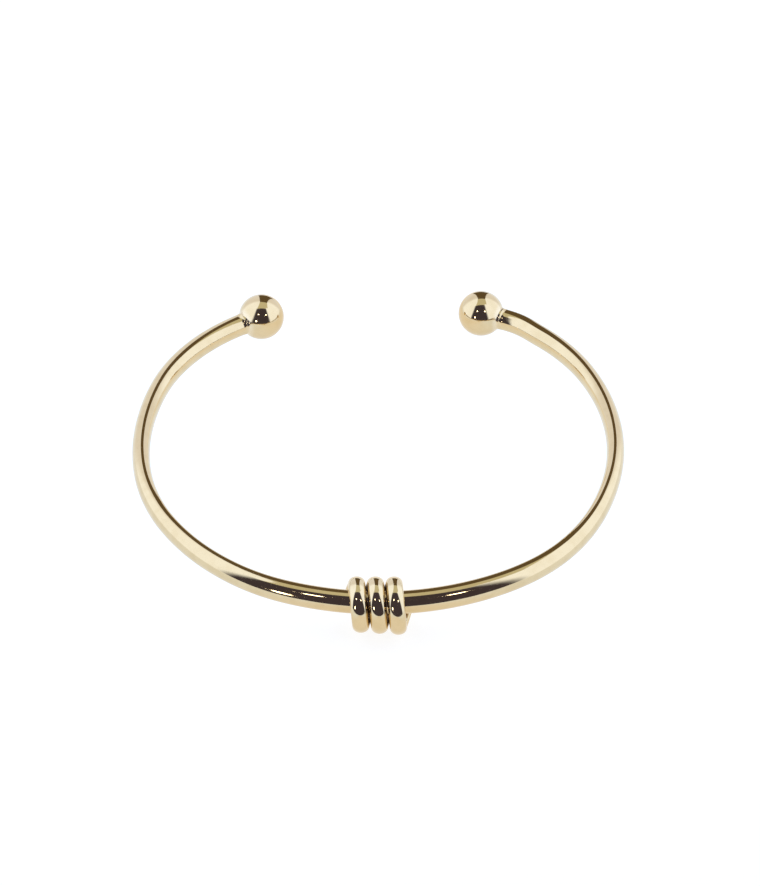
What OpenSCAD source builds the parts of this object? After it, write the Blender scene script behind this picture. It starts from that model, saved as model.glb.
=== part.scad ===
// Open torque bangle: a round bar bent round the wrist and a little flattened at its sides, with a ball
// soldered on each end, and a coil of oval wire wound round the bar at the middle of the front. It lies on
// its side, as it does on a table, on the underside of the coil and the two balls. Millimetres, +Z up,
// front towards -Y, origin on the table under the middle of the whole part.

/* [Bar] */
// Diameter of the round bar
bar_d = 2.96; // [2.6:0.02:3.4]
// Thickness from the wrist outwards where the bar is flattest, towards the middle of each side
side_thick = 2.36; // [2:0.02:3]
// Radius of the bar's centre line over the front
front_radius = 34.5; // [30:0.5:40]
// Radius of the two quicker bends either side of the front
shoulder_radius = 28.2; // [24:0.2:34]
// Radius of the two sides
side_radius = 34.6; // [30:0.5:40]
// Radius of the two stretches that close in towards the balls
tail_radius = 26.2; // [22:0.2:32]
// How far each closing stretch turns, in degrees
tail_turn = 36.5; // [20:0.5:42]

/* [Balls] */
// Diameter of the two end balls
ball_d = 6.2; // [4.5:0.1:7]
// Width of the soldered corner between a ball and the bar
solder = 0.3; // [0.1:0.05:0.6]

/* [Wire wrap] */
// Width of the oval wire, along the bar
wire_wide = 2.14; // [1.8:0.02:2.2]
// Thickness of the oval wire, outwards from the bar
wire_thick = 1.64; // [1.2:0.02:2]
// Number of full turns
wrap_turns = 3; // [2:1:4]
// Distance from one turn to the next
wrap_pitch = 2.34; // [2.3:0.02:2.6]
// How far the outer half of each turn leans along the bar, from its middle to its edge
wrap_lean = 0.27; // [0:0.01:0.5]
// Place of the coil's middle along the bar, from the middle of the front
wrap_place = -1.2; // [-6:0.1:6]
// Gap between the wire and the bar, where they come closest, on top and behind
wrap_gap = 0.06; // [0.06:0.01:0.3]
// How much more room the middle turn has opposite, in front and below
wrap_slack = 0.64; // [0.4:0.02:0.9]
// How much that room grows from one turn to the next
wrap_sag = 0.12; // [0:0.02:0.16]

/* [Hidden] */
gold = [0.84, 0.69, 0.42];
pale_gold = [0.88, 0.76, 0.52];

// Facets: points round the bar and the wire, and degrees from ring to ring along bar, ball and wire
bar_sides = 24;
wire_sides = 16;
bar_step = 3;
ball_step = 10;
wire_step = 10;

// The bar's route from the middle of the front to one end, as arcs that run on into each other
RADIUS = 0;
TURN = 1;
ROUTE = [
    [front_radius, 22.5],
    [shoulder_radius, 45],
    [side_radius, 45],
    [tail_radius, tail_turn],
];
last_arc = len(ROUTE) - 1;

// The unit vectors along heading h and to its left, where h is in degrees from +X
function along(h) = [cos(h), sin(h)];
function left_of(h) = [-sin(h), cos(h)];

// The heading at which the bar is flattest, and how far from there it is round again
flattest_at = 80;
flat_reach = 75;

// The bar's heading where arc i starts
function start_of(i) = i == 0 ? 0 : start_of(i - 1) + ROUTE[i - 1][TURN];

// The point that arc i turns about, with the middle of the front at [0, 0]
function centre_of(i) =
    i == 0
        ? [0, front_radius]
        : centre_of(i - 1) + (ROUTE[i][RADIUS] - ROUTE[i - 1][RADIUS]) * left_of(start_of(i));

// The arc that the bar is on where its heading is h
function arc_at(h, i = 0) = i == last_arc || h <= start_of(i + 1) ? i : arc_at(h, i + 1);

// The point of the bar's centre line where its heading is h; below 0 lies on the -X side
function bar_at(h) =
    let (i = arc_at(abs(h)), p = centre_of(i) - ROUTE[i][RADIUS] * left_of(abs(h)))
    [sign(h) * p[0], p[1]];

// Half the bar's thickness where its heading is h
function half_thick(h) =
    let (past = min(abs(abs(h) - flattest_at), flat_reach))
    (bar_d - (bar_d - side_thick) * (1 + cos(180 * past / flat_reach)) / 2) / 2;

// The bar ends where the ball begins, and the ball stands straight off it
ball_r = ball_d / 2;
end_heading = start_of(last_arc) + ROUTE[last_arc][TURN];
ball_at = bar_at(end_heading) + ball_r * along(end_heading);

// Half a width of the bar and ball together, at angle a over the ball from the bar to the far pole
function joined(half, a) =
    let (across = ball_r * sin(a), corner = solder * cos(a))
    a < 90 ? (half + across + sqrt(pow(half - across, 2) + pow(corner, 2))) / 2 : across;

// A ring of points across heading h, round the point p
function bar_ring(p, h, thick, high) =
    [for (k = [0:bar_sides - 1])
        let (a = 360 * k / bar_sides, inwards = thick * cos(a) * left_of(h))
        [p[0] + inwards[0], p[1] + inwards[1], high * sin(a)]];

// The ring at angle a over a ball; side is 1 for the ball at +X and -1 for the other
function ball_ring(side, a) =
    let (h = side * end_heading, p = bar_at(h) + side * ball_r * (1 - cos(a)) * along(h))
    bar_ring(p, h, joined(half_thick(h), a), joined(bar_d / 2, a));

// The coil is straight and the bar in it is bent, so the coil sits half the bend's depth inwards and is
// wider than the bar by the same half depth all round
wrap_reach = wrap_turns * wrap_pitch / 2;
wrap_inset = (front_radius - sqrt(pow(front_radius, 2) - pow(wrap_reach, 2))) / 2;
wrap_turned = wrap_place / front_radius * 180 / PI;

// The radius of the wire's centre line if it had no more room than the gap all round
tight_radius = bar_d / 2 + wrap_inset + wrap_gap + wire_thick / 2;
// The turns hang off the bar this far below straight out
wrap_hang = 49;
// The middle of each turn's outer half faces this far above straight out, and the ends are behind it
wrap_facing = 40;
wrap_travel = 360 * wrap_turns;
// Each end of the wire is rounded off over this travel, down to this share of its radius
round_travel = 4;
round_share = 0.8;

// How far along the bar the wire is after travelling u degrees round it. The outer half of each turn
// leans a little, the half behind steps over to the next turn.
function wire_along(u) =
    let (
        turn = round((u - 180) / 360),
        past = u - 180 - 360 * turn,
        step = wrap_pitch / 2 - (wrap_pitch / 2 - wrap_lean) * abs(sin(past)))
    wrap_pitch * (turn - (wrap_turns - 1) / 2)
        + (abs(past) <= 90 ? wrap_lean * sin(past) : sign(past) * step);

// The wire's centre line: along the coil, outwards as -Y, and up
function wire_at(u) =
    let (
        a = wrap_facing + 180 - u,
        hung = (wrap_slack + wrap_sag * (u - wrap_travel / 2) / 360) / 2,
        r = tight_radius + hung)
    [wire_along(u), -r * cos(a) - hung * cos(wrap_hang), r * sin(a) - hung * sin(wrap_hang)];

function unit(v) = v / norm(v);

// A ring of points across the wire after travel u, at the given share of the wire's size
function wire_ring(u, share) =
    let (
        way = unit(wire_at(u + 1) - wire_at(u - 1)),
        side = unit([1, 0, 0] - way[0] * way),
        up = cross(way, side))
    [for (k = [0:wire_sides - 1])
        let (a = 360 * k / wire_sides)
        wire_at(u) + share * (wire_wide * cos(a) * side + wire_thick * sin(a) * up) / 2];

wire_rings = concat(
    [wire_ring(0, round_share), wire_ring(round_travel, 1)],
    [for (u = [wire_step:wire_step:wrap_travel - wire_step]) wire_ring(u, 1)],
    [wire_ring(wrap_travel - round_travel, 1), wire_ring(wrap_travel, round_share)]);

// The bangle lies on the coil and the balls, so the bar slopes down a little towards the balls
coil_drop = -min([for (ring = wire_rings, point = ring) point[2]]);
rest_slope = asin((coil_drop - ball_r) / (ball_at[1] - wrap_inset));
front_edge = wrap_inset + min([for (ring = wire_rings, point = ring) point[1]]);
back_edge = ball_at[1] * cos(rest_slope) + ball_r;

// Puts down on the table what is drawn with the middle of the front at the origin
module rest() {
    translate([0, -(front_edge + back_edge) / 2, coil_drop])
        rotate([-rest_slope, 0, 0])
            children();
}

// A closed solid through a list of rings that all have the same number of points
module loft(rings) {
    n = len(rings[0]);
    last = len(rings) - 1;
    walls = [for (i = [0:last - 1], k = [0:n - 1])
        [i * n + k, (i + 1) * n + k, (i + 1) * n + (k + 1) % n, i * n + (k + 1) % n]];
    start_cap = [for (k = [0:n - 1]) k];
    end_cap = [for (k = [n - 1:-1:0]) last * n + k];
    polyhedron([for (r = rings) each r], concat([start_cap], walls, [end_cap]));
}

// The bar and its two balls, in one solid
module bangle() {
    over_ball = [for (a = [ball_step:ball_step:180 - ball_step]) a];
    pole = 179;
    steps = ceil(end_heading / bar_step);
    color(gold)
        rest()
            loft(concat(
                [ball_ring(-1, pole)],
                [for (i = [len(over_ball) - 1:-1:0]) ball_ring(-1, over_ball[i])],
                [for (i = [-steps:steps])
                    let (h = end_heading * i / steps)
                    bar_ring(bar_at(h), h, half_thick(h), bar_d / 2)],
                [for (a = over_ball) ball_ring(1, a)],
                [ball_ring(1, pole)]));
}

// The coil of oval wire
module wire_wrap() {
    color(pale_gold)
        rest()
            translate([0, front_radius, 0])
                rotate([0, 0, wrap_turned])
                    translate([0, wrap_inset - front_radius, 0])
                        loft(wire_rings);
}

bangle();
wire_wrap();
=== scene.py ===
"""Looks of an open torque bangle with a coil of wire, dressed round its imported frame.

The bangle is a polished gold bar with a ball soldered on each end. A coil of oval wire hangs round the
middle of its front. It lies on its side on a white table, inside a light tent with an open front.
Lengths are metres and turns are degrees, unless a name says otherwise.
"""

import logging
import math
from dataclasses import dataclass, field
from enum import Enum
from typing import Optional, Union

import bmesh
import bpy
from mathutils import Matrix, Vector


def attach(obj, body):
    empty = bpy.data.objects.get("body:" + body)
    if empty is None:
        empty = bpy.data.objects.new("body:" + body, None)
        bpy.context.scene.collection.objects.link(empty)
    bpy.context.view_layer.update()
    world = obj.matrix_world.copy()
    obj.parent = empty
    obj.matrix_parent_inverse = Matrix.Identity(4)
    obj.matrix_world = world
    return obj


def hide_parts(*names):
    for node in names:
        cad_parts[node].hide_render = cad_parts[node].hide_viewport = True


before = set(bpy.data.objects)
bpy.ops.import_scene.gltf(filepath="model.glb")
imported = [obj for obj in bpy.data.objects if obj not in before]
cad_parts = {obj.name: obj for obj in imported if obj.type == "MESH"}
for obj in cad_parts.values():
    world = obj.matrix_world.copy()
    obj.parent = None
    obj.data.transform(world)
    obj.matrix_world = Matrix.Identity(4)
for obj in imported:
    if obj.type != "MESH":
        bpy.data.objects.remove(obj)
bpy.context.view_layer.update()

LOG = logging.getLogger("bangle")
MM = 0.001
MICRON = 0.000001
FULL_TURN = 360.0
# A ring is drawn flat, and this turns it to stand across a path that starts out along +X
ACROSS_THE_PATH = Matrix(((0, 0, 1, 0), (1, 0, 0, 0), (0, 1, 0, 0), (0, 0, 0, 1)))

Colour = tuple[float, float, float]
Place = tuple[float, float, float]

# The glow of tent cloth with a lamp behind it, in the tent and in its front screen
LIT_CLOTH: Colour = (1.32, 1.54, 2.05)


class Slot(Enum):
    """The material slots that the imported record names."""

    BAR = "bar_gold"
    WIRE = "wire_gold"


class Link:
    """An output socket. Python arithmetic on it adds Math nodes to its graph."""

    def __init__(self, graph: "Graph", socket: bpy.types.NodeSocket) -> None:
        """Wraps a socket of a graph."""
        self.graph = graph
        self.socket = socket

    def __add__(self, other: "Value") -> "Link":
        """self + other."""
        return self.graph.maths("ADD", self, other)

    def __radd__(self, other: "Value") -> "Link":
        """other + self."""
        return self.graph.maths("ADD", other, self)

    def __sub__(self, other: "Value") -> "Link":
        """self - other."""
        return self.graph.maths("SUBTRACT", self, other)

    def __rsub__(self, other: "Value") -> "Link":
        """other - self."""
        return self.graph.maths("SUBTRACT", other, self)

    def __mul__(self, other: "Value") -> "Link":
        """self * other."""
        return self.graph.maths("MULTIPLY", self, other)

    def __rmul__(self, other: "Value") -> "Link":
        """other * self."""
        return self.graph.maths("MULTIPLY", other, self)

    def __truediv__(self, other: "Value") -> "Link":
        """self / other."""
        return self.graph.maths("DIVIDE", self, other)

    def __neg__(self) -> "Link":
        """-self."""
        return self.graph.maths("MULTIPLY", self, -1.0)

    def __abs__(self) -> "Link":
        """abs(self)."""
        return self.graph.maths("ABSOLUTE", self)

    def rises(self, low: "Value", high: "Value") -> "Link":
        """Goes smoothly from 0 to 1 as this value goes from low to high.

        Args:
            low: Where the step starts.
            high: Where the step ends.

        Returns:
            The step's height.
        """
        node = self.graph.node(
            "ShaderNodeMapRange",
            {"interpolation_type": "SMOOTHSTEP"},
            {"Value": self, "From Min": low, "From Max": high},
        )
        return Link(self.graph, node.outputs["Result"])


Value = Union[Link, float]


class Graph:
    """The nodes of one material or world."""

    def __init__(self, tree: bpy.types.NodeTree) -> None:
        """Empties a node tree and takes it over."""
        self.tree = tree
        tree.nodes.clear()

    def node(
        self, kind: str, settings: dict[str, object], sockets: dict[object, object],
    ) -> bpy.types.Node:
        """Adds a node.

        Args:
            kind: The node's type.
            settings: Its properties. "stops" is a list of a ramp's (position, colour) pairs.
            sockets: Input names or numbers, each with a value or a Link.

        Returns:
            The new node.
        """
        node = self.tree.nodes.new(kind)
        for name, value in settings.items():
            if name == "stops":
                self.set_stops(node.color_ramp, value)
            else:
                setattr(node, name, value)
        for name, value in sockets.items():
            if isinstance(value, Link):
                self.tree.links.new(value.socket, node.inputs[name])
            else:
                node.inputs[name].default_value = value
        return node

    @staticmethod
    def set_stops(ramp: bpy.types.ColorRamp, stops: list[tuple[float, Colour]]) -> None:
        """Gives a colour ramp its stops.

        Args:
            ramp: The new ramp, which has two stops.
            stops: The position and colour of each stop, in order of position.
        """
        while len(ramp.elements) < len(stops):
            ramp.elements.new(1.0)
        for element, (position, colour) in zip(ramp.elements, stops):
            element.position = position
            element.color = (*colour, 1.0)

    def maths(self, operation: str, *values: Value) -> Link:
        """Adds a Math node over one, two or three values."""
        node = self.node("ShaderNodeMath", {"operation": operation}, dict(enumerate(values)))
        return Link(self, node.outputs["Value"])

    def mix(self, share: Value, first: object, second: object) -> Link:
        """Mixes two colours.

        Args:
            share: How much of the second colour there is, from 0 to 1.
            first: A colour or a Link to one.
            second: A colour or a Link to one.

        Returns:
            The mixed colour.
        """
        sockets = {"Factor": share, 6: self.rgba(first), 7: self.rgba(second)}
        node = self.node("ShaderNodeMix", {"data_type": "RGBA"}, sockets)
        return Link(self, node.outputs[2])

    @staticmethod
    def rgba(colour: object) -> object:
        """A colour with its alpha, or the Link as it is."""
        return colour if isinstance(colour, Link) else (*colour, 1.0)

    def object_place(self) -> Link:
        """The place on the object, in metres."""
        node = self.node("ShaderNodeTexCoord", {}, {})
        return Link(self, node.outputs["Object"])

    def parts(self, vector: Link) -> tuple[Link, Link, Link]:
        """The X, Y and Z of a vector."""
        node = self.node("ShaderNodeSeparateXYZ", {}, {"Vector": vector})
        return tuple(Link(self, socket) for socket in node.outputs)

    def scaled(self, vector: Link, factors: Colour) -> Link:
        """A vector with each part multiplied by its own factor."""
        node = self.node("ShaderNodeVectorMath", {"operation": "MULTIPLY"}, {0: vector, 1: factors})
        return Link(self, node.outputs["Vector"])

    def noise(self, vector: Link, size: float, detail: float = 2.0) -> Link:
        """Cloudy noise from 0 to 1.

        Args:
            vector: Where on the pattern the surface is.
            size: The width of one cloud, in the vector's own unit.
            detail: How many finer layers it has.

        Returns:
            The noise.
        """
        sockets = {"Vector": vector, "Scale": 1.0 / size, "Detail": detail}
        node = self.node("ShaderNodeTexNoise", {}, sockets)
        return Link(self, node.outputs["Fac"])

    def bump(self, height: Link, depth: float) -> Link:
        """A surface normal bent by a height map.

        Args:
            height: The height, from 0 to 1.
            depth: What a height of 1 stands for.

        Returns:
            The normal.
        """
        node = self.node("ShaderNodeBump", {}, {"Height": height, "Distance": depth})
        return Link(self, node.outputs["Normal"])


def new_material(name: str) -> tuple[bpy.types.Material, Graph]:
    """Makes an empty node material.

    Args:
        name: The material's name.

    Returns:
        The material and its graph.
    """
    material = bpy.data.materials.new(name)
    material.use_nodes = True
    return material, Graph(material.node_tree)


def surface(graph: Graph, sockets: dict[object, object]) -> None:
    """Ends a material's graph in one Principled shader with these sockets."""
    shader = graph.node("ShaderNodeBsdfPrincipled", {}, sockets)
    graph.node("ShaderNodeOutputMaterial", {}, {"Surface": Link(graph, shader.outputs["BSDF"])})


@dataclass(frozen=True)
class PaintedCleftShade:
    """Painted shade: a dark, duller tint on the sides of a coiled wire that face its other turns and the
    bar it is wound on, where they shade each other.
    """

    girth: float
    turn_long: float
    whole_long: float
    # tint is the painted shade's dark colour, and dull is how much it roughens the polish
    tint: Colour = (0.20, 0.11, 0.04)
    dull: float = 0.35
    starts: float = 0.05
    soft: float = 0.35
    half_soft: float = 0.1
    free_less: float = 0.60
    free_soft: float = 2.0 * MM

    def share(self, graph: Graph, along: Link, around: Link) -> Link:
        """How much painted shade there is.

        Args:
            graph: The gold's graph.
            along: The distance along the wire from its first end.
            around: The distance round the wire from its outermost line.

        Returns:
            1 where the painted shade is full, 0 where the metal is bare.
        """
        angle = around * (math.tau / self.girth)
        outwards = graph.maths("COSINE", angle)
        left = graph.maths("SINE", angle)
        last = self.whole_long - self.turn_long
        on_left = left.rises(-self.half_soft, self.half_soft)
        on_right = (-left).rises(-self.half_soft, self.half_soft)
        # The outer sides of the first and last turns face no other turn, so they get less painted shade
        free = on_left * (1.0 - self.past(along, self.turn_long))
        free = free + on_right * self.past(along, last)
        starts = self.starts - self.free_less * free
        return 1.0 - outwards.rises(starts - self.soft, starts)

    def past(self, along: Link, place: float) -> Link:
        """Goes from 0 to 1 past a place along the wire."""
        return along.rises(place - self.free_soft, place + self.free_soft)


@dataclass(frozen=True)
class GoldFinish:
    """Polished gold, as a jeweller's wheel leaves it.

    The UV map runs along the metal and round it, in metres, so the marks follow the metal. The solder line
    is as far from the metal's middle as solder_at, which lies past the ends where there is none.
    """

    name: str
    tint: Colour
    deep_tint: Colour
    # Painted shade in the clefts of the coiled wire; none on the bar
    cleft_shade: Optional[PaintedCleftShade] = None
    solder_at: float = 1.0
    solder_wide: float = 0.5 * MM
    solder_tint: Colour = (0.80, 0.66, 0.44)
    solder_cover: float = 0.6
    solder_dull: float = 0.10
    cloud_from: float = 0.35
    cloud_full: float = 0.75
    polish: float = 0.045
    haze: float = 0.05
    haze_size: float = 1.6 * MM
    hairline_size: float = 0.9 * MM
    hairline_wide: float = 0.012
    hairline_haze: float = 0.12
    drawn_size: float = 0.05 * MM
    drawn_long: float = 60.0
    drawn_deep: float = 0.25 * MICRON
    wave_size: float = 3.5 * MM
    wave_deep: float = 7.0 * MICRON

    def material(self) -> bpy.types.Material:
        """Builds the material.

        Returns:
            The gold, with its marks, haze, solder line and painted shade in the wire's clefts.
        """
        material, graph = new_material(self.name)
        node = graph.node("ShaderNodeUVMap", {"uv_map": "metal"}, {})
        metal = Link(graph, node.outputs["UV"])
        place = graph.object_place()
        along, around, _ = graph.parts(metal)
        clouds = graph.noise(place, self.haze_size, 4.0)
        hairlines = self.hairlines(graph, place)
        solder = 1.0 - abs(abs(along) - self.solder_at).rises(0.0, self.solder_wide)
        deep = clouds.rises(self.cloud_from, self.cloud_full)
        colour = graph.mix(deep, self.tint, self.deep_tint)
        colour = graph.mix(self.solder_cover * solder, colour, self.solder_tint)
        rough = self.polish + self.haze * clouds * clouds + self.hairline_haze * hairlines
        rough = rough + self.solder_dull * solder
        # Painted shade: the wire's sides that face its other turns and the bar are darkened and dulled
        if self.cleft_shade:
            cleft_shade = self.cleft_shade.share(graph, along, around)
            colour = graph.mix(cleft_shade, colour, self.cleft_shade.tint)
            rough = rough + self.cleft_shade.dull * cleft_shade
        drawn = graph.noise(graph.scaled(metal, (1.0 / self.drawn_long, 1.0, 1.0)), self.drawn_size)
        waves = graph.noise(place, self.wave_size, 1.0)
        height = self.wave_deep * waves + self.drawn_deep * drawn
        surface(graph, {
            "Base Color": colour,
            "Metallic": 1.0,
            "Roughness": rough,
            "Normal": graph.bump(height, 1.0),
        })
        return material

    def hairlines(self, graph: Graph, place: Link) -> Link:
        """Fine handling marks that wander over the polish, 1 on a mark and 0 between."""
        marks = abs(graph.noise(place, self.hairline_size, 3.0) - 0.5)
        return 1.0 - marks.rises(0.0, self.hairline_wide)


@dataclass(frozen=True)
class Arc:
    """One arc of a flat path: the point it turns about, and the heading it starts and ends with."""

    centre: Vector
    radius: float
    start: float
    turn: float


@dataclass(frozen=True)
class HandBend:
    """A stretch of bar that the maker's hand left a little off the true curve, by so much inwards."""

    heading: float
    spread: float
    inwards: float

    def at(self, heading: float) -> float:
        """How far inwards the bar is pushed where it has that heading."""
        past = min(abs(heading - self.heading) / self.spread, 1.0)
        return self.inwards * (1.0 + math.cos(math.pi * past)) / 2


@dataclass(frozen=True)
class Route:
    """The bar's centre line, flat, with the middle of the front at the origin and a ball on each end.

    It runs to the ball at +X as arcs that run on into each other, and the other half mirrors it but for
    the hand bends. Headings are below 0 on the -X side.
    """

    front_radius: float = 34.5 * MM
    front_turn: float = 22.5
    shoulder_radius: float = 28.2 * MM
    shoulder_turn: float = 45.0
    side_radius: float = 34.6 * MM
    side_turn: float = 45.0
    tail_radius: float = 26.2 * MM
    tail_turn: float = 36.5
    bends: tuple[HandBend, ...] = (
        HandBend(-102.0, 14.0, 0.08 * MM),
        HandBend(-75.0, 20.0, -0.21 * MM),
        HandBend(-42.0, 24.0, 0.11 * MM),
        HandBend(-15.0, 20.0, 0.08 * MM),
        HandBend(42.0, 20.0, -0.11 * MM),
        HandBend(70.0, 18.0, 0.08 * MM),
        HandBend(143.5, 9.0, -0.26 * MM),
    )

    def arcs(self) -> list[Arc]:
        """Works out the arcs.

        Returns:
            The arcs in order, from the middle of the front.
        """
        sizes = (
            (self.front_radius, self.front_turn),
            (self.shoulder_radius, self.shoulder_turn),
            (self.side_radius, self.side_turn),
            (self.tail_radius, self.tail_turn),
        )
        made, point, heading = [], Vector((0.0, 0.0, 0.0)), 0.0
        for radius, turn in sizes:
            centre = point + radius * left_of(heading)
            made.append(Arc(centre, radius, heading, turn))
            heading += turn
            point = centre - radius * left_of(heading)
        return made

    def end(self) -> tuple[Vector, float]:
        """Works out where the true curve ends.

        Returns:
            The point where the bar meets the ball at +X, and its heading there.
        """
        last = self.arcs()[-1]
        heading = last.start + last.turn
        return last.centre - last.radius * left_of(heading), heading

    def true_at(self, heading: float) -> Vector:
        """Finds a point of the true curve.

        Args:
            heading: The heading there.

        Returns:
            The point.
        """
        arc = [arc for arc in self.arcs() if arc.start <= abs(heading)][-1]
        point = arc.centre - arc.radius * left_of(abs(heading))
        return Vector((math.copysign(point.x, heading), point.y, 0.0))

    def at(self, heading: float) -> Vector:
        """The point of the hand-bent centre line for that heading of the true curve."""
        inwards = sum(bend.at(heading) for bend in self.bends)
        return self.true_at(heading) + inwards * left_of(heading)

    def way_at(self, heading: float, probe: float = 0.25) -> float:
        """The heading that the hand-bent centre line really has there.

        Args:
            heading: The heading of the true curve.
            probe: How far to look to each side, in degrees.

        Returns:
            The real heading, in degrees.
        """
        limit = self.end()[1]
        before, after = max(heading - probe, -limit), min(heading + probe, limit)
        step = self.at(after) - self.at(before)
        off = math.degrees(math.atan2(step.y, step.x)) - heading
        return heading + (off + 180.0) % FULL_TURN - 180.0

    def length(self) -> float:
        """The length of half the bar."""
        return sum(math.radians(arc.turn) * arc.radius for arc in self.arcs())


def along(heading: float) -> Vector:
    """The unit vector along a heading, in degrees from +X."""
    return Vector((math.cos(math.radians(heading)), math.sin(math.radians(heading)), 0.0))


def left_of(heading: float) -> Vector:
    """The unit vector to the left of a heading."""
    return along(heading + 90.0)


class Skin:
    """A smooth skin drawn ring by ring, which knows how far along and round the metal each point is."""

    # A face crosses the seam if one of its points lies past this share of the way round
    SEAM_BEFORE = 0.9
    # and its points below this share then count as a whole turn further on
    SEAM_AFTER = 0.1

    def __init__(self, sides: int, first: Matrix) -> None:
        """Draws the first ring.

        Args:
            sides: How many points a ring has.
            first: Takes the unit circle to the first ring.
        """
        self.mesh = bmesh.new()
        self.sides = sides
        self.place = first
        self.reach = 0.0
        self.along = self.mesh.verts.layers.float.new("along")
        self.around = self.mesh.verts.layers.float.new("around")
        made = bmesh.ops.create_circle(self.mesh, segments=sides, radius=1.0, matrix=first)
        for number, point in enumerate(made["verts"]):
            point[self.around] = number / sides
        self.ring = list(self.mesh.edges)

    def step_to(self, place: Matrix) -> None:
        """Draws the next ring.

        Args:
            place: Takes the unit circle to the new ring.
        """
        self.reach += (place.translation - self.place.translation).length
        new = self.extrude()
        bmesh.ops.transform(self.mesh, matrix=place @ self.place.inverted(), verts=new)
        self.place = place

    def close(self, tip: Vector) -> None:
        """Closes the end over a tip."""
        self.reach += (tip - self.place.translation).length
        bmesh.ops.pointmerge(self.mesh, verts=self.extrude(), merge_co=tip)

    def cap(self, ring: list[bmesh.types.BMEdge], place: Matrix, tip: Vector) -> None:
        """Closes the other end, which the first ring is on, over a tip.

        Args:
            ring: The first ring's edges.
            place: Takes the unit circle to the first ring.
            tip: The point to close it over.
        """
        self.ring, self.place = ring, place
        self.reach = min(point[self.along] for point in self.mesh.verts)
        self.reach -= 2 * (tip - place.translation).length
        self.close(tip)

    def centre_reach(self) -> None:
        """Counts the way along the metal from its middle."""
        middle = self.reach / 2
        for point in self.mesh.verts:
            point[self.along] -= middle

    def extrude(self) -> list[bmesh.types.BMVert]:
        """Doubles the last ring, and makes the double the last one.

        Returns:
            The new ring's points.
        """
        made = bmesh.ops.extrude_edge_only(self.mesh, edges=self.ring)["geom"]
        new = [part for part in made if isinstance(part, bmesh.types.BMVert)]
        fresh = set(new)
        self.ring = [
            part for part in made
            if isinstance(part, bmesh.types.BMEdge) and fresh.issuperset(part.verts)
        ]
        for point in new:
            point[self.along] = self.reach
        return new

    def finish(self, name: str, place: Matrix, girth: float) -> bpy.types.Object:
        """Turns the skin into an object.

        Args:
            name: The object's name.
            place: Takes the drawing to where the piece lies.
            girth: The distance round the metal, for the UV map.

        Returns:
            The object, linked to the scene.
        """
        bmesh.ops.transform(self.mesh, matrix=place, verts=self.mesh.verts)
        bmesh.ops.recalc_face_normals(self.mesh, faces=self.mesh.faces)
        layer = self.mesh.loops.layers.uv.new("metal")
        for face in self.mesh.faces:
            face.smooth = True
            seam = max(point[self.around] for point in face.verts) > self.SEAM_BEFORE
            for loop in face.loops:
                share = loop.vert[self.around]
                if seam and share < self.SEAM_AFTER:
                    share += 1.0
                loop[layer].uv = (loop.vert[self.along], share * girth)
        data = bpy.data.meshes.new(name)
        self.mesh.to_mesh(data)
        self.mesh.free()
        return shown(bpy.data.objects.new(name, data))


def shown(thing: bpy.types.Object) -> bpy.types.Object:
    """Links an object to the scene and returns it."""
    bpy.context.scene.collection.objects.link(thing)
    return thing


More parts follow.
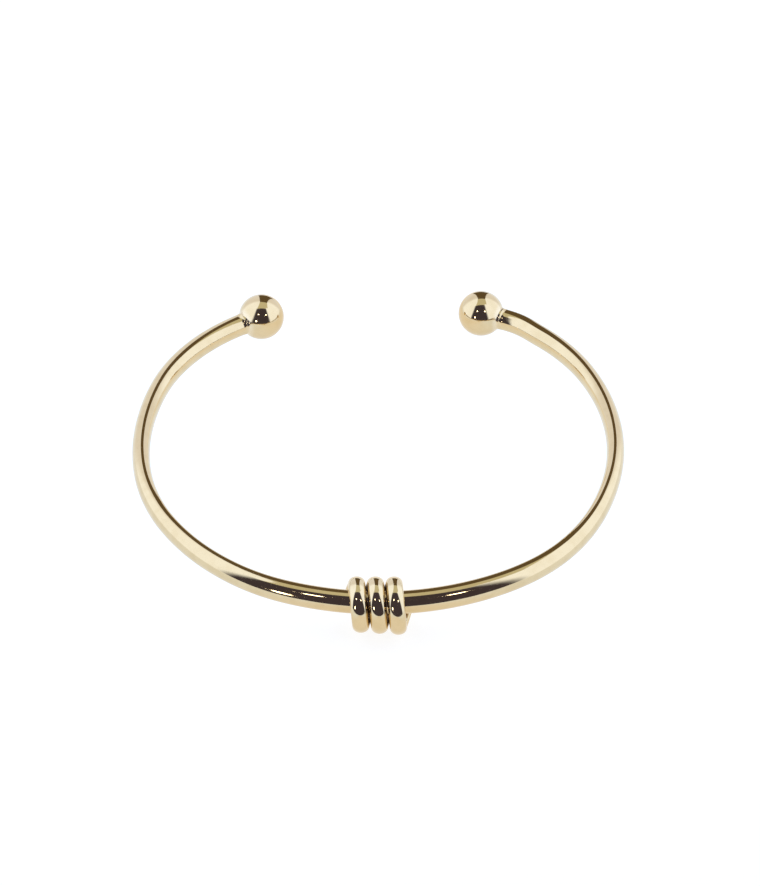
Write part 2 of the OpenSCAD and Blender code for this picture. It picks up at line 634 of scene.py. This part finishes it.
@dataclass
class Bangle:
    """The bar, flattened a little at its sides, and the ball soldered on each of its ends, in one skin."""

    route: Route
    bar: float = 2.96 * MM
    side_thick: float = 2.36 * MM
    flattest_at: float = 80.0
    flat_reach: float = 75.0
    ball_wide: float = 6.2 * MM
    solder: float = 0.3 * MM
    sides: int = 96
    bar_step: float = 1.25
    ball_step: float = 3.0

    def half_thick(self, heading: float) -> float:
        """Works out half the bar's thickness, from the wrist outwards.

        Args:
            heading: The heading of the true curve.

        Returns:
            Half the thickness there.
        """
        past = min(abs(abs(heading) - self.flattest_at), self.flat_reach)
        flat = (1.0 + math.cos(math.pi * past / self.flat_reach)) / 2
        return (self.bar - (self.bar - self.side_thick) * flat) / 2

    def ball_at(self) -> Vector:
        """The middle of the ball at +X, in the flat drawing."""
        point, heading = self.route.end()
        return point + self.ball_wide / 2 * along(heading)

    def ring(self, point: Vector, heading: float, half_thick: float, half_high: float) -> Matrix:
        """Takes the unit circle to an oval across a heading.

        Args:
            point: The oval's middle.
            heading: The way that the metal runs there.
            half_thick: Half the oval's width, flat.
            half_high: Half the oval's height.

        Returns:
            The placing matrix.
        """
        turned = Matrix.Rotation(math.radians(heading), 4, "Z")
        size = Matrix.Diagonal((half_thick, half_high, 1.0, 1.0))
        return Matrix.Translation(point) @ turned @ ACROSS_THE_PATH @ size

    def joined(self, half: float, over: float) -> float:
        """Half the width of bar and ball together, with solder in the corner between them.

        Args:
            half: Half the bar's width in that direction.
            over: The angle over the ball, from the bar to the far pole.

        Returns:
            Half the width there.
        """
        ball = self.ball_wide / 2 * math.sin(math.radians(over))
        corner = self.solder * math.cos(math.radians(over))
        if over >= 90.0:
            return ball
        return (half + ball + math.hypot(half - ball, corner)) / 2

    def build(self, rest: Matrix) -> bpy.types.Object:
        """Builds the bangle where it lies.

        Args:
            rest: Takes the flat drawing to the table.

        Returns:
            The finished object.
        """
        last = self.route.end()[1]
        steps = math.ceil(last / self.bar_step)
        bar = [self.bar_ring(last * number / steps) for number in range(-steps, steps + 1)]
        rings = [*reversed(self.ball_rings(-1.0)), *bar, *self.ball_rings(1.0)]
        skin = Skin(self.sides, rings[0])
        first_ring = skin.ring
        for ring in rings[1:]:
            skin.step_to(ring)
        skin.close(self.tip(1.0))
        skin.centre_reach()
        skin.cap(first_ring, rings[0], self.tip(-1.0))
        return skin.finish("gold_bangle", rest, self.girth())

    def bar_ring(self, heading: float) -> Matrix:
        """Takes the unit circle to the bar's section where the true curve has that heading."""
        way = self.route.way_at(heading)
        return self.ring(self.route.at(heading), way, self.half_thick(heading), self.bar / 2)

    def ball_rings(self, side: float) -> list[Matrix]:
        """The rings over one ball, from the bar to its far pole.

        Args:
            side: 1 for the ball at +X, -1 for the other.

        Returns:
            The placing matrix of each ring.
        """
        end, heading = self.route.end()
        point, way = self.route.at(side * heading), self.route.way_at(side * heading)
        rings = []
        for number in range(1, int(180.0 / self.ball_step)):
            over = number * self.ball_step
            reach = self.ball_wide / 2 * (1.0 - math.cos(math.radians(over)))
            across = self.joined(self.half_thick(heading), over), self.joined(self.bar / 2, over)
            rings.append(self.ring(point + side * reach * along(way), way, *across))
        return rings

    def tip(self, side: float) -> Vector:
        """The far pole of one ball."""
        heading = side * self.route.end()[1]
        return self.route.at(heading) + side * self.ball_wide * along(self.route.way_at(heading))

    def girth(self) -> float:
        """The distance round the bar."""
        return math.pi * self.bar

    def corner(self) -> float:
        """How far past the bar's end its skin meets the ball's, in the soldered corner."""
        return self.ball_wide / 2 - math.sqrt((self.ball_wide / 2)**2 - (self.bar / 2)**2)

    def dress(self, piece: bpy.types.Object) -> None:
        """Gives the bangle its gold, and puts it in the frame.

        Args:
            piece: The finished bangle.
        """
        joint = self.route.length() + self.corner()
        tints = (0.70, 0.535, 0.295), (0.66, 0.495, 0.262)
        gold = GoldFinish("bar_gold", *tints, solder_at=joint)
        piece.data.materials.append(gold.material())
        settle(piece, "bangle")


@dataclass
class WireWrap:
    """The coil of oval wire round the middle of the bangle's front.

    Each turn touches the bar nearly, on top and behind, and hangs clear of it in front and below.
    """

    route: Route
    bangle: Bangle
    wide: float = 2.14 * MM
    thick: float = 1.64 * MM
    turns: int = 3
    pitch: float = 2.34 * MM
    lean: float = 0.27 * MM
    place: float = -1.2 * MM
    gap: float = 0.06 * MM
    slack: float = 0.64 * MM
    sag: float = 0.12 * MM
    hang: float = 49.0
    facing: float = 40.0
    end_travel: float = 9.0
    end_rings: int = 6
    sides: int = 48
    step: float = 3.0
    probe: float = 0.5

    def inset(self) -> float:
        """Works out how far inwards the coil sits, as it is straight and the bar in it is bent.

        Returns:
            Half the depth of the bar's bend inside the coil.
        """
        reach = self.turns * self.pitch / 2
        radius = self.route.front_radius
        return (radius - math.sqrt(radius**2 - reach**2)) / 2

    def hung(self, travel: float) -> float:
        """How far the turn's middle hangs off the bar's, after that travel round the bar."""
        return (self.slack + self.sag * (travel / FULL_TURN - self.turns / 2)) / 2

    def shift(self, travel: float) -> float:
        """How far along the bar the wire is.

        The outer half of each turn leans a little, and the half behind steps over to the next turn.

        Args:
            travel: The angle that the wire has gone round the bar.

        Returns:
            The place along the coil, from its middle.
        """
        turn = round((travel - 180.0) / FULL_TURN)
        past = travel - 180.0 - FULL_TURN * turn
        lean = self.lean * math.sin(math.radians(past))
        if abs(past) > 90.0:
            back = abs(math.sin(math.radians(past)))
            lean = math.copysign(self.pitch / 2 - (self.pitch / 2 - self.lean) * back, past)
        return self.pitch * (turn - (self.turns - 1) / 2) + lean

    def point(self, travel: float) -> Vector:
        """Finds a point of the wire's centre line.

        Args:
            travel: The angle that the wire has gone round the bar.

        Returns:
            The point, in the coil's straight drawing.
        """
        angle = math.radians(self.facing + 180.0 - travel)
        hang = math.radians(self.hang)
        hung = self.hung(travel)
        radius = self.bangle.bar / 2 + self.inset() + self.gap + self.thick / 2 + hung
        across = -radius * math.cos(angle) - hung * math.cos(hang)
        return Vector((self.shift(travel), across, radius * math.sin(angle) - hung * math.sin(hang)))

    def ring(self, travel: float, share: float) -> Matrix:
        """Takes the unit circle to a ring across the wire.

        Args:
            travel: The angle that the wire has gone round the bar.
            share: The ring's size, as a share of the wire's.

        Returns:
            The placing matrix.
        """
        way = (self.point(travel + self.probe) - self.point(travel - self.probe)).normalized()
        side = Vector((1.0, 0.0, 0.0))
        side = (side - side.dot(way) * way).normalized()
        turned = Matrix((side, way.cross(side), way)).transposed().to_4x4()
        size = Matrix.Diagonal((share * self.wide / 2, share * self.thick / 2, 1.0, 1.0))
        return Matrix.Translation(self.point(travel)) @ turned @ size

    def rings(self) -> list[tuple[float, float]]:
        """Works out where the rings lie, with both ends of the wire filed round.

        Returns:
            The travel and share of each ring.
        """
        total = FULL_TURN * self.turns
        shares = [number / self.end_rings for number in range(1, self.end_rings)]
        filed = [math.pi / 2 * share for share in shares]
        ends = [(self.end_travel * (1.0 - math.cos(angle)), math.sin(angle)) for angle in filed]
        count = round((total - 2 * self.end_travel) / self.step)
        stride = (total - 2 * self.end_travel) / count
        body = [(self.end_travel + stride * number, 1.0) for number in range(count + 1)]
        return ends + body + [(total - travel, share) for travel, share in reversed(ends)]

    def least(self, axis: int) -> float:
        """The coil's least reach along an axis of its straight drawing: 1 is outwards, 2 is down."""
        placed = [self.ring(*ring) for ring in self.rings()]
        return min(ring[axis][3] - math.hypot(ring[axis][0], ring[axis][1]) for ring in placed)

    def girth(self) -> float:
        """The distance round the wire."""
        return math.pi * (self.wide + self.thick) / 2

    def length(self) -> float:
        """The length of the wire."""
        points = [self.point(travel) for travel, _ in self.rings()]
        return sum((after - before).length for before, after in zip(points, points[1:]))

    def on_the_bar(self) -> Matrix:
        """Works out the coil's place on the bent bar.

        Returns:
            The matrix that takes the straight coil there, in the flat drawing.
        """
        about = Matrix.Translation((0.0, self.route.front_radius, 0.0))
        turned = Matrix.Rotation(self.place / self.route.front_radius, 4, "Z")
        inwards = Matrix.Translation((0.0, self.inset() - self.route.front_radius, 0.0))
        return about @ turned @ inwards

    def build(self, rest: Matrix) -> bpy.types.Object:
        """Builds the coil where it lies.

        Args:
            rest: Takes the flat drawing to the table.

        Returns:
            The finished object.
        """
        rings = self.rings()
        skin = Skin(self.sides, self.ring(*rings[0]))
        first_ring = skin.ring
        for ring in rings[1:]:
            skin.step_to(self.ring(*ring))
        skin.close(self.point(FULL_TURN * self.turns))
        skin.cap(first_ring, self.ring(*rings[0]), self.point(0.0))
        return skin.finish("wire_coil", rest @ self.on_the_bar(), self.girth())

    def dress(self, piece: bpy.types.Object) -> None:
        """Gives the coil its gold, and puts it in the frame.

        Args:
            piece: The finished coil.
        """
        tints = (0.72, 0.565, 0.325), (0.68, 0.525, 0.290)
        # Painted shade for the wire's sides that face its other turns and the bar
        cleft_shade = PaintedCleftShade(self.girth(), self.length() / self.turns, self.length())
        gold = GoldFinish("wire_gold", *tints, cleft_shade)
        piece.data.materials.append(gold.material())
        settle(piece, "wire_wrap")


def settle(piece: bpy.types.Object, node: str) -> None:
    """Makes a finished piece stand for its CAD node.

    Args:
        piece: The finished piece.
        node: The CAD node that it replaces.
    """
    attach(piece, "root")
    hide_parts(node)
    LOG.info("%s stands for %s, with %d faces", piece.name, node, len(piece.data.polygons))


def lying(bangle: Bangle, wrap: WireWrap) -> Matrix:
    """Works out how the bangle lies on the underside of its coil and its two balls.

    Args:
        bangle: The bar and balls.
        wrap: The coil.

    Returns:
        The matrix that takes the flat drawing to the table, centred on the origin.
    """
    drop = -wrap.least(2)
    ball = bangle.ball_wide / 2
    reach = bangle.ball_at().y
    slope = math.asin((drop - ball) / (reach - wrap.inset()))
    front = wrap.inset() + wrap.least(1)
    back = reach * math.cos(slope) + ball
    down = Matrix.Translation((0.0, -(front + back) / 2, drop))
    return down @ Matrix.Rotation(-slope, 4, "X")


@dataclass
class Table:
    """The white table that the bangle lies on, which glows: evenly in the middle, and brighter and bluer on
    its two sides as painted light, where a glossy top would reflect the lit side cloth.
    """

    half_wide: float = 3.0
    white: Colour = (0.20, 0.20, 0.20)
    mottle_size: float = 40.0 * MM
    mottle_share: float = 0.97
    glow: float = 0.90
    middle_glow: Colour = (1.0, 1.0, 1.0)
    side_glow: Colour = (1.0, 1.14, 1.40)
    sides_from: float = 4.0 * MM
    sides_full: float = 26.0 * MM

    def build(self) -> None:
        """Builds the table top at Z = 0."""
        mesh = bmesh.new()
        bmesh.ops.create_grid(mesh, x_segments=1, y_segments=1, size=self.half_wide)
        table = stage_piece("table", mesh)
        material, graph = new_material("white_table")
        mottle = graph.noise(graph.object_place(), self.mottle_size)
        darker = tuple(self.mottle_share * part for part in self.white)
        white = graph.mix(mottle, self.white, darker)
        # Painted light: the glow grows brighter and bluer towards the table's two sides
        across = graph.parts(graph.object_place())[0]
        sides = abs(across).rises(self.sides_from, self.sides_full)
        glow = graph.mix(sides, self.middle_glow, self.side_glow)
        surface(graph, {
            "Base Color": white,
            "Roughness": 1.0,
            "Specular IOR Level": 0.0,
            "Emission Color": glow,
            "Emission Strength": self.glow,
        })
        table.data.materials.append(material)


@dataclass(frozen=True)
class Dome:
    """A dome that stands on the table, round a middle that may lie behind the bangle.

    A share along it is 0 at the front of the table, a half straight up and 1 at the back. Lateral places
    are shares of its radius.
    """

    radius: float
    middle: float = 0.0
    round_faces: int = 96
    rise_faces: int = 48

    def mesh(self, top: float = 1.0) -> bmesh.types.BMesh:
        """Draws the dome.

        Args:
            top: The share that it is cut off at.

        Returns:
            The mesh.
        """
        mesh = bmesh.new()
        middle = Vector((0.0, self.middle, 0.0))
        place = Matrix.Translation(middle)
        bmesh.ops.create_uvsphere(
            mesh, u_segments=self.round_faces, v_segments=self.rise_faces, radius=self.radius, matrix=place,
        )
        angle = math.pi * top
        for normal in (Vector((0.0, 0.0, -1.0)), Vector((0.0, math.sin(angle), math.cos(angle)))):
            parts = [*mesh.verts, *mesh.edges, *mesh.faces]
            bmesh.ops.bisect_plane(
                mesh, geom=parts, dist=MICRON, plane_co=middle, plane_no=normal, clear_outer=True,
            )
        return mesh

    def places(self, graph: Graph) -> tuple[Link, Link, Link]:
        """Finds where a point lies on the dome.

        Args:
            graph: The dome's graph.

        Returns:
            Its lateral place, its place towards the back, and its share along.
        """
        across, back, up = graph.parts(graph.object_place())
        back = back - self.middle
        share = graph.maths("ARCTAN2", up, -back) / math.pi
        return across / self.radius, back / self.radius, share


@dataclass(frozen=True)
class Gap:
    """A gap in cloth that runs along a dome, with its reach to the left and right by share along."""

    left: tuple[tuple[float, float], ...]
    right: tuple[tuple[float, float], ...]
    soft: float

    def cloth(self, graph: Graph, across: Link, share: Link) -> Link:
        """Tells cloth from gap.

        Args:
            graph: The dome's graph.
            across: The lateral place.
            share: The share along.

        Returns:
            1 on the cloth and 0 in the gap.
        """
        left = -across - self.edge(graph, share, self.left)
        right = across - self.edge(graph, share, self.right)
        return graph.maths("MAXIMUM", left, right).rises(0.0, self.soft)

    @staticmethod
    def edge(graph: Graph, share: Link, stops: tuple[tuple[float, float], ...]) -> Link:
        """Finds an edge of the gap.

        Args:
            graph: The dome's graph.
            share: The share along.
            stops: The edge's lateral place at some shares along.

        Returns:
            How far to the side the edge is there.
        """
        greys = [(position, (wide,) * 3) for position, wide in stops]
        node = graph.node("ShaderNodeValToRGB", {"stops": greys}, {"Fac": share})
        return Link(graph, node.outputs["Color"])


@dataclass
class LightTent:
    """A domed light tent round the bangle, lit from outside by large soft lamps at its sides.

    Between its lit sides run the open front, a dim roof and a dark back.
    """

    dome: Dome = Dome(0.25)
    gap: Gap = Gap(
        left=(
            (0.0, 0.95), (0.47, 0.95), (0.50, 0.37), (0.55, 0.27), (0.60, 0.20), (0.69, 0.12), (1.0, 0.12),
        ),
        right=(
            (0.0, 0.95), (0.47, 0.95), (0.50, 0.49), (0.55, 0.42), (0.60, 0.38), (0.69, 0.31), (1.0, 0.30),
        ),
        soft=0.02,
    )
    roof_from: float = 0.49
    back_from: float = 0.69
    edge_soft: float = 0.01
    open_front: Colour = (0.066, 0.058, 0.090)
    roof: Colour = (0.74, 0.77, 0.65)
    back: Colour = (0.15, 0.115, 0.065)
    cloth: Colour = (1.02, 1.12, 1.40)
    lamp_reach: float = 0.62
    lamp_soft: float = 0.10

    def build(self) -> None:
        """Builds the dome down to the table."""
        tent = stage_piece("light_tent", self.dome.mesh())
        material, graph = new_material("tent_cloth")
        across, back, share = self.dome.places(graph)
        past_roof = share.rises(self.roof_from - self.edge_soft, self.roof_from + self.edge_soft)
        past_back = share.rises(self.back_from - self.edge_soft, self.back_from + self.edge_soft)
        gap = graph.mix(past_roof, self.open_front, self.roof)
        gap = graph.mix(past_back, gap, self.back)
        lit = 1.0 - back.rises(self.lamp_reach - self.lamp_soft, self.lamp_reach + self.lamp_soft)
        walls = graph.mix(lit, self.cloth, LIT_CLOTH)
        glowing(graph, graph.mix(self.gap.cloth(graph, across, share), gap, walls), 1.0)
        tent.data.materials.append(material)
        tent.visible_camera = False


@dataclass
class FrontScreen:
    """The tent's front cloth, close before the bangle, with an opening for the camera."""

    dome: Dome = Dome(0.30, 0.22)
    opening: Gap = Gap(
        left=((0.0, 0.32), (0.10, 0.28), (0.25, 0.24), (1.0, 0.24)),
        right=((0.0, 0.22), (0.10, 0.19), (0.25, 0.18), (1.0, 0.18)),
        soft=0.08,
    )
    top: float = 0.25

    def build(self) -> None:
        """Builds the screen up to the tent's roof."""
        screen = stage_piece("front_screen", self.dome.mesh(self.top))
        material, graph = new_material("screen_cloth")
        across, _, share = self.dome.places(graph)
        glowing(graph, LIT_CLOTH, 1.0, self.opening.cloth(graph, across, share))
        screen.data.materials.append(material)
        screen.visible_camera = False


@dataclass
class Lamps:
    """Three small bare lamps that stand outside, before the opening of the front screen."""

    radius: float = 10.0 * MM
    sides: int = 32
    brightness: float = 9.0
    white: Colour = (1.0, 1.0, 1.0)
    places: tuple[Place, ...] = (
        (-66.0 * MM, -103.0 * MM, 163.0 * MM),
        (73.0 * MM, -108.0 * MM, 156.0 * MM),
        (-80.0 * MM, -110.0 * MM, 42.0 * MM),
    )

    def build(self) -> None:
        """Builds the lamps as small discs that face the bangle."""
        mesh = bmesh.new()
        for point in map(Vector, self.places):
            turned = (-point).to_track_quat("Z", "Y").to_matrix().to_4x4()
            place = Matrix.Translation(point) @ turned
            bmesh.ops.create_circle(
                mesh, cap_ends=True, segments=self.sides, radius=self.radius, matrix=place,
            )
        lamps = stage_piece("front_lamps", mesh)
        lamps.visible_camera = False
        material, graph = new_material("bare_lamp")
        glowing(graph, self.white, self.brightness)
        lamps.data.materials.append(material)


def glowing(graph: Graph, colour: object, strength: float, solid: Value = 1.0) -> None:
    """Ends a material's graph in a surface that only glows.

    Args:
        graph: The material's graph.
        colour: The glow's colour, or a Link to it.
        strength: How strong the glow is.
        solid: 1 where the surface is, and 0 where it has a hole.
    """
    surface(graph, {
        "Base Color": (0.0, 0.0, 0.0, 1.0),
        "Roughness": 1.0,
        "Specular IOR Level": 0.0,
        "Emission Color": graph.rgba(colour),
        "Emission Strength": strength,
        "Alpha": solid,
    })


def stage_piece(name: str, mesh: bmesh.types.BMesh) -> bpy.types.Object:
    """Turns a mesh into an object that isn't part of the bangle.

    Args:
        name: The object's name.
        mesh: The finished mesh, which is freed.

    Returns:
        The object.
    """
    data = bpy.data.meshes.new(name)
    mesh.to_mesh(data)
    mesh.free()
    piece = shown(bpy.data.objects.new(name, data))
    LOG.info("%s is on the stage", name)
    return piece


@dataclass
class Studio:
    """The camera, the table, the tent with its front screen and lamps, and the white room round them."""

    azimuth: float = -2.184
    elevation: float = 40.900
    distance: float = 483.04 * MM
    roll: float = 0.281
    focal_length_mm: float = 149.27
    film_mm: float = 36.0
    aim: Vector = field(default_factory=lambda: Vector((0.211 * MM, 2.620 * MM, 3.130 * MM)))

    def build(self) -> None:
        """Builds the whole studio."""
        Table().build()
        LightTent().build()
        FrontScreen().build()
        Lamps().build()
        self.place_camera()
        self.whiten_room()
        bpy.context.scene.view_settings.view_transform = "Standard"

    def place_camera(self) -> None:
        """Makes the camera and aims it at the bangle."""
        data = bpy.data.cameras.new("camera")
        data.lens = self.focal_length_mm
        data.sensor_width = self.film_mm
        camera = shown(bpy.data.objects.new("camera", data))
        flat = math.cos(math.radians(self.elevation))
        turned = math.radians(self.azimuth)
        up = math.sin(math.radians(self.elevation))
        back = Vector((math.sin(turned) * flat, -math.cos(turned) * flat, up))
        look = (-back).to_track_quat("-Z", "Y").to_matrix().to_4x4()
        tilt = Matrix.Rotation(math.radians(self.roll), 4, "Z")
        camera.matrix_world = Matrix.Translation(self.aim + self.distance * back) @ look @ tilt
        bpy.context.scene.camera = camera

    @staticmethod
    def whiten_room() -> None:
        """Makes the room round the tent white."""
        world = bpy.data.worlds.new("white_room")
        world.use_nodes = True
        graph = Graph(world.node_tree)
        white = graph.node("ShaderNodeBackground", {}, {"Color": (1.0, 1.0, 1.0, 1.0)})
        graph.node("ShaderNodeOutputWorld", {}, {"Surface": Link(graph, white.outputs["Background"])})
        bpy.context.scene.world = world


def main() -> None:
    """Builds the studio and the bangle, and reports each piece."""
    logging.basicConfig(level=logging.INFO, format="%(name)s: %(message)s")
    Studio().build()
    route = Route()
    bangle = Bangle(route)
    wrap = WireWrap(route, bangle)
    rest = lying(bangle, wrap)
    for part in (bangle, wrap):
        part.dress(part.build(rest))


if __name__ == "__main__":
    main()
